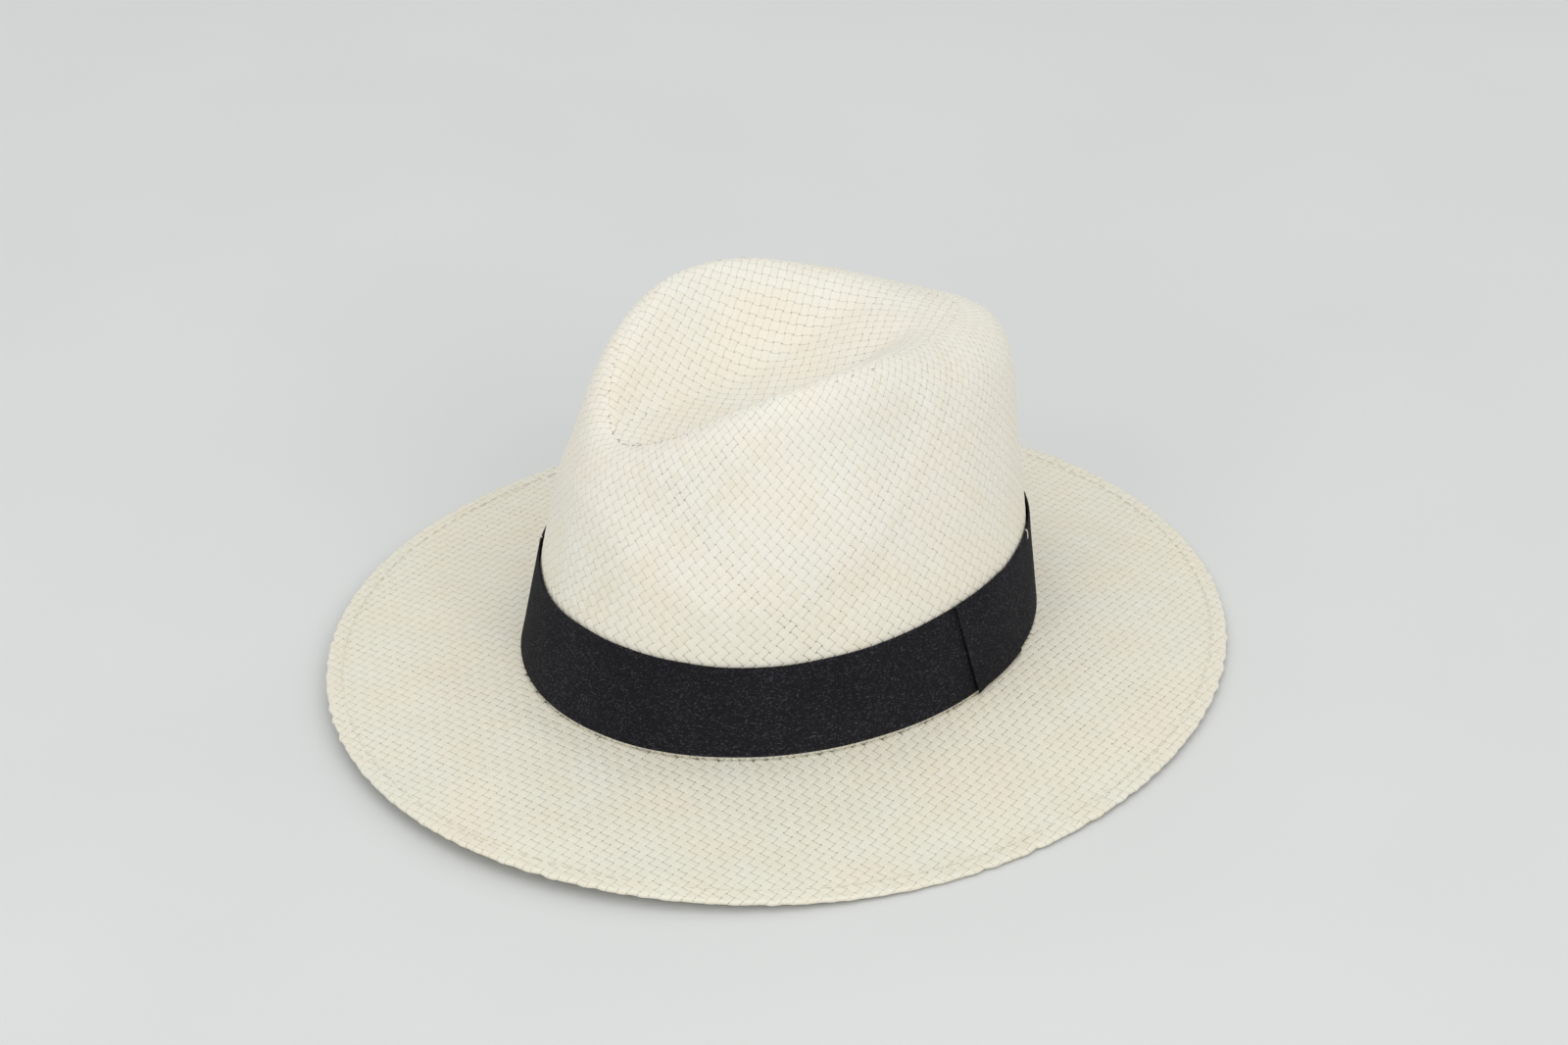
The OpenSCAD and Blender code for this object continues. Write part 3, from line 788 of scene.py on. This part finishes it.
def on_brim(t, q, past):
    """Point of the strands' middle layer and its normal, round the edge and back under it."""
    reach = brim_reach(t)
    x1, y1 = brim_xy(t, 1.0)
    x0, y0 = brim_xy(t, 0.0)
    out = xyz((x1 - x0) / reach, (y1 - y0) / reach, 0)
    turn = np.clip(past / ROLL_R, 0, np.pi)
    under = np.clip(past - TURN, 0, None)
    flat = past <= 0
    inset = np.where(flat, HEM_R - past, HEM_R - ROLL_R * np.sin(turn) + under)
    share = 1 - inset / reach
    x, y = brim_xy(t, share)
    top = brim_z(t, share)
    slope = (brim_z(t, share + 0.01) - brim_z(t, share - 0.01)) / (0.02 * reach)
    slope = np.where(share > 0.97, 0, slope)
    sag = 0.8 * np.clip(1 - (inset - HEM_R) / (HEM_W - HEM_R), 0, 1) ** 2
    z_turn = wire_z(t) + ROLL_R * np.cos(turn)
    join = ease(under / 2.5)
    z_under = z_turn * (1 - join) + (top - 1.75 - sag) * join
    z = np.where(flat, top + MIDDLE, np.where(past < TURN, z_turn, z_under))
    up = xyz(0, 0, 1) - out * slope[..., None]
    turned = out * np.sin(turn)[..., None] + xyz(0, 0, 1) * np.cos(turn)[..., None]
    normal = np.where(flat[..., None], up, turned)
    near = ease(1 - inset / 9)
    wander = np.where(flat, 0.30 * lumps(xyz(x, y, z)) * ease(q * 6) * (1 - near), 0)
    z = z + near * 0.16 * (0.6 + 0.5 * crimp(t, 0.7)) + wander
    uneven = near * 0.16 * (crimp(t, 0.0) - 0.5) + ease(1 - inset / 4) * 0.4 * crimp(t, 1.9)
    p = xyz(x, y, z) + out * uneven[..., None]
    return p, unit(normal)


def brim_sheet(a, b):
    """Point and normal of the brim's woven sheet at a lattice point."""
    return on_brim(*brim_place(a, b))


def brim_strands(family, seed, hem, low, high):
    """The strands of the brim, or with hem those of its turned edge, that have numbers from low to high."""

    def level_at(a, b):
        _, q, past = brim_place(a, b)
        if hem:
            return np.minimum(past - HEM_START, FOLD_END - past)
        return np.minimum((q + 0.004) * 75, BRIM_END - past)

    reach = int(185 / BRIM_PITCH)
    tones, widths = strand_tones(2 * reach, seed)
    numbers = range(max(-reach, low), min(reach, high))
    samples = np.arange(-reach - 3, reach + 3, 1 / SUB)
    own, other, run = cut_strands(family, numbers, samples, level_at, finer=3 if hem else 1)
    return own, other, run, *strand_looks(own, other * BRIM_PITCH, tones, widths, seed)


for family, seed in (("a", 41), ("b", 42)):
    for part, (low, high) in enumerate(((-ALL, 0), (0, ALL))):
        lines = brim_strands(family, seed, False, low, high)
        piece = strand_mesh(f"brim_weave_{family}{part + 1}", brim_sheet, family, *lines)
        finish_piece(piece, "straw", "brim")
        lines = brim_strands(family, seed, True, low, high)
        name = f"brim_hem_weave_{family}{part + 1}"
        piece = strand_mesh(name, brim_sheet, family, *lines, section=FINE_SECTION, lift=HEM_LIFT)
        finish_piece(piece, "straw", "brim_hem")

# ---------------------------------------------------------------- the stitches of the hem
STITCHES, STITCH_IN, STITCH_SPAN = 180, 6.5, 1.2
sewing = Threads()
for i in range(STITCHES):
    t0 = i * 360 / STITCHES + rng.uniform(-0.12, 0.12)
    t = np.linspace(t0, t0 + STITCH_SPAN + rng.uniform(-0.06, 0.06), 9)
    w = np.linspace(-1, 1, 9)
    d = STITCH_IN + rng.uniform(-0.15, 0.15)
    q = 1 - d / brim_reach(t)
    x, y = brim_xy(t, q)
    z = brim_z(t, q) + 0.08 - 0.5 * np.abs(w) ** 4
    sewing.add(xyz(x, y, z), 0.2, 2.2, i * 1.7)
finish_piece(sewing.build("hem_thread", pale_thread), "thread", "hem_stitches")


# ---------------------------------------------------------------- the ribbon
GIRTH_PER_DEGREE = 1.65


def cloth_strip(name, t, heights, offset, thick, material, wobble=None, skew=0.0, closed=False):
    """A strip of cloth on the wall, with columns at the angles t and rows at the heights. offset(t, share)
    is how far its outer face stands off the wall, and wobble(t, share) moves it up; share goes from 0 at
    its lower edge to 1 at its upper one. skew turns the lower edge by so many degrees."""
    rows = len(heights)
    tt = np.repeat(t, rows)
    hh = np.tile(heights, len(t))
    share = (hh - heights[0]) / (heights[-1] - heights[0])
    z = hh + (wobble(tt, share) if wobble else 0)
    p, n = wall_at_height((tt + skew * (1 - share)) % 360, z)
    face = offset(tt, share)
    outer = p + n * face[:, None]
    inner = p + n * (face - thick)[:, None]
    outer = outer.reshape(len(t), rows, 3)
    inner = inner.reshape(len(t), rows, 3)[:, ::-1]
    loop = np.concatenate([outer, inner], 1)
    m = 2 * rows
    count = len(t)
    i = np.arange(count if closed else count - 1)[:, None]
    j = np.arange(m)
    nxt = (j + 1) % m
    h = (i + 1) % count
    quads = np.stack(np.broadcast_arrays(i * m + j, h * m + j, h * m + nxt, i * m + nxt), -1).reshape(-1, 4)
    caps = [] if closed else np.array([j, (count - 1) * m + j[::-1]])
    lay = np.empty((count, m, 3))
    lay[..., 0] = (t * GIRTH_PER_DEGREE / 10)[:, None]
    lay[..., 1] = np.concatenate([heights, heights[::-1]])[None] / 10
    lay[..., 2] = 0.5
    return mesh_object(name, loop.reshape(-1, 3), quads, material, caps, {"strand": lay.reshape(-1, 3)})


RIB_FORM = np.array([0.0, 0.75, 1.0, 0.75])
RIB_COLUMNS = 640 * len(RIB_FORM)  # 640 ribs would go once round the hat


def rib(t):
    """Form of the ribs, 0 between two of them and 1 on one."""
    return RIB_FORM[np.round(t * RIB_COLUMNS / 360).astype(int) % len(RIB_FORM)]


def rib_angles(first, last):
    """Angles of the rib columns from the first number up to the last."""
    return np.arange(first, last) * 360 / RIB_COLUMNS


def slow(t, seed):
    """Slow waves round the hat, about -1 to 1."""
    r = np.radians(t)
    return 0.5 * np.sin(5 * r + seed) + 0.3 * np.sin(11 * r + 2.1 * seed) + 0.2 * np.sin(23 * r + 3.7 * seed)


def edge_rows(low, high, count, edge=0.35):
    """Heights of rows, closer together at both edges."""
    inner = np.linspace(low + edge * 2, high - edge * 2, count)
    bottom = [low, low + edge * 0.5, low + edge]
    return np.concatenate([bottom, inner, [high - edge, high - edge * 0.5, high]])


def ribbon_face(t, share):
    edge = 1 - np.clip(np.minimum(share, 1 - share) * RIBBON_H / 0.45, 0, 1) ** 0.5
    base = RIBBON_GAP + RIBBON_T - 0.08
    lip = 0.22 * ease((share - 0.75) / 0.25) * (0.6 + 0.5 * slow(t, 1.3))
    foot = 0.15 * ease((0.2 - share) / 0.2) * (0.6 + 0.5 * slow(t, 2.9))
    belly = 0.12 * np.sin(np.pi * share) * (0.5 + 0.5 * slow(t, 4.0))
    ribbed = 0.13 * rib(t) * np.clip(np.minimum(share, 1 - share) * RIBBON_H / 0.8, 0.25, 1)
    return base + lip + foot + belly + ribbed - 0.28 * edge


def ribbon_wobble(t, share):
    return 0.28 * slow(t, 6.0) * share + 0.16 * slow(t, 8.0) * (1 - share) + 0.16 * (1 - share)


# The ribbon's joint is under the middle of the keeper
joint = (KEEPER_FROM + KEEPER_TO) / 2
first_rib = int(round((joint + 0.3) * RIB_COLUMNS / 360))
ribbon = cloth_strip(
    "ribbon", rib_angles(first_rib, first_rib + int(359.4 * RIB_COLUMNS / 360)),
    edge_rows(BAND_Z, BAND_Z + RIBBON_H, 11), ribbon_face, 0.42, grosgrain, wobble=ribbon_wobble,
)
finish_piece(ribbon, "ribbon", "hat_band")


def keeper_face(t, share):
    s = (t - KEEPER_FROM) / (KEEPER_TO - KEEPER_FROM)
    from_side = np.minimum(s, 1 - s) * (KEEPER_TO - KEEPER_FROM) * GIRTH_PER_DEGREE
    fold_line = 0.10 * np.exp(-((from_side - 0.7) / 0.6) ** 2)
    drop = 0.45 * (1 - np.clip(from_side / 0.35, 0, 1)) ** 2
    base = RIBBON_GAP + RIBBON_T + 0.15 + RIBBON_T
    lift = 0.7 * ease(1 - share / 0.2) * ease(1 - s / 0.25) + 0.3 * ease(1 - s / 0.2)
    edge = 1 - np.clip(np.minimum(share, 1 - share) * RIBBON_H / 1.1, 0, 1) ** 0.5
    ribbed = 0.13 * rib(t)
    return base + lift + fold_line + ribbed - drop - 0.85 * edge + 0.25 * np.sin(np.pi * share)


def keeper_wobble(t, share):
    return 0.28 * slow(t, 6.0) * share + 0.10 * (1 - share)


keeper = cloth_strip(
    "keeper", rib_angles(int(KEEPER_FROM * RIB_COLUMNS / 360) + 1, int(KEEPER_TO * RIB_COLUMNS / 360)),
    edge_rows(BAND_Z - 0.5, BAND_Z + RIBBON_H + 0.5, 13, 0.5), keeper_face, 0.5, grosgrain,
    wobble=keeper_wobble, skew=KEEPER_SKEW,
)
finish_piece(keeper, "ribbon", "band_keeper")

# ---------------------------------------------------------------- tack stitches on the ribbon's upper edge
TACK_AT = (145.0, 325.0)
tacks = Threads()
for k, t0 in enumerate(TACK_AT):
    z = np.linspace(BAND_Z + RIBBON_H - 3.2, BAND_Z + RIBBON_H + 0.8, 12)
    p, n = wall_at_height(np.full(12, t0) + np.linspace(0, 0.35, 12), z)
    w = np.linspace(-1, 1, 12)
    tacks.add(p + n * (1.22 - 0.75 * np.abs(w) ** 5)[:, None], 0.26, 3.0, 0.4 + k)
finish_piece(tacks.build("tack_thread", cream_thread), "thread", "band_tacks")

# ---------------------------------------------------------------- the sweatband, its stitches and its tape
SWEAT_H = 34.0
SEAM_STITCHES = 120
TAPE_HALF = 7 / BASE_X * 57  # half the tape's width, in degrees


def sweat_face(t, share):
    ripple = 0.12 * slow(t, 5.5) + 0.18 * ease((share - 0.7) / 0.3) * slow(t, 7.5)
    return -STRAW_T - 0.42 + ripple * 0.6 - 0.25 * ease((share - 0.93) / 0.07)


sweatband = cloth_strip(
    "sweatband_cloth", np.arange(0, 360, 1.0), edge_rows(BASE_Z - 0.3, BASE_Z - 0.4 + SWEAT_H, 12, 0.5),
    sweat_face, 0.9, cotton, closed=True,
)
finish_piece(sweatband, "sweatband", "sweatband")

seam = Threads()
for i in range(SEAM_STITCHES):
    t0 = i * 360 / SEAM_STITCHES
    if abs(t0 - 180) <= 6:  # the tape covers these
        continue
    t = np.linspace(t0, t0 + 1.8, 9)
    w = np.linspace(-1, 1, 9)
    p, n = wall_at_height(t, np.full(9, BASE_Z + 3.0))
    seam.add(p - n * (2.92 - 0.35 * np.abs(w) ** 4)[:, None], 0.23, 2.2, i * 1.3)
finish_piece(seam.build("sweatband_thread", cream_thread), "thread", "sweatband_stitches")


def tape_face(t, share):
    s = np.abs(t - 180) / TAPE_HALF
    return -STRAW_T - 1.62 + 0.12 * np.clip((s - 0.85) / 0.15, 0, 1) + 0.05 * np.sin(share * 9)


tape = cloth_strip(
    "sweatband_tape_cloth", np.linspace(180 - TAPE_HALF, 180 + TAPE_HALF, 29),
    edge_rows(BASE_Z + 1, BASE_Z + SWEAT_H - 2, 10, 0.4), tape_face, 0.45, tape_cloth,
)
finish_piece(tape, "tape", "sweatband_tape")

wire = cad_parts["brim_wire"]
wire.data.materials.clear()
wire.data.materials.append(wire_material())

# ---------------------------------------------------------------- floor, light and camera
def floor_material():
    n = Nodes("floor")
    grain = n.noise(n.place(), 6.0, 2.0, 0.5)
    colour = n.ramp(grain, (0.3, (0.70, 0.71, 0.705)), (0.7, (0.72, 0.73, 0.725)))
    n.put(colour, n.shader.inputs["Base Color"])
    n.shader.inputs["Roughness"].default_value = 0.75
    n.shader.inputs["Specular IOR Level"].default_value = 0.2
    return n.material


corners = 6000.0 * np.array([(-1, -1, 0), (1, -1, 0), (1, 1, 0), (-1, 1, 0)])
mesh_object("floor", corners, [[0, 1, 2, 3]], floor_material())

world = bpy.data.worlds.new("studio")
world.use_nodes = True
world.node_tree.nodes["Background"].inputs["Color"].default_value = (0.985, 0.995, 1.0, 1)
world.node_tree.nodes["Background"].inputs["Strength"].default_value = 0.76
bpy.context.scene.world = world


def soft_light(name, place, size, power, colour=(1.0, 0.992, 0.98)):
    """A round studio light aimed at the hat, in metres and watts."""
    light = bpy.data.lights.new(name, "AREA")
    light.shape = "DISK"
    light.size = size
    light.energy = power
    light.color = colour
    lamp = bpy.data.objects.new(name, light)
    lamp.location = place
    aim = Vector((0, 0, 0.06)) - Vector(place)
    lamp.rotation_euler = aim.to_track_quat("-Z", "Y").to_euler()
    bpy.context.scene.collection.objects.link(lamp)


soft_light("overhead", (0.2, -0.35, 2.0), 1.6, 5)
soft_light("right", (1.9, 0.0, 1.35), 1.4, 9.5)
soft_light("front", (0.7, -1.9, 1.3), 1.4, 5.5)

azimuth, elevation, roll = math.radians(61.0), math.radians(32.6427), math.radians(0.6109)
level = math.cos(elevation)
back = Vector((math.sin(azimuth) * level, -math.cos(azimuth) * level, math.sin(elevation)))
right = Vector((math.cos(azimuth), math.sin(azimuth), 0))
up = back.cross(right)
place = Vector((0, 0, 0.040)) + right * 0.001585 + up * 0.013002 + back * 1.24394
axis_x = right * math.cos(roll) - up * math.sin(roll)
axis_y = right * math.sin(roll) + up * math.cos(roll)
lens = bpy.data.cameras.new("camera")
lens.sensor_fit = "HORIZONTAL"
lens.sensor_width = 36
lens.lens = 74.81
lens.clip_end = 50
camera = bpy.data.objects.new("camera", lens)
camera.matrix_world = Matrix(
    [[axis_x[i], axis_y[i], back[i], place[i]] for i in range(3)] + [[0, 0, 0, 1]]
)
bpy.context.scene.collection.objects.link(camera)
bpy.context.scene.camera = camera
bpy.context.scene.view_settings.view_transform = "Standard"

bpy.context.view_layer.update()
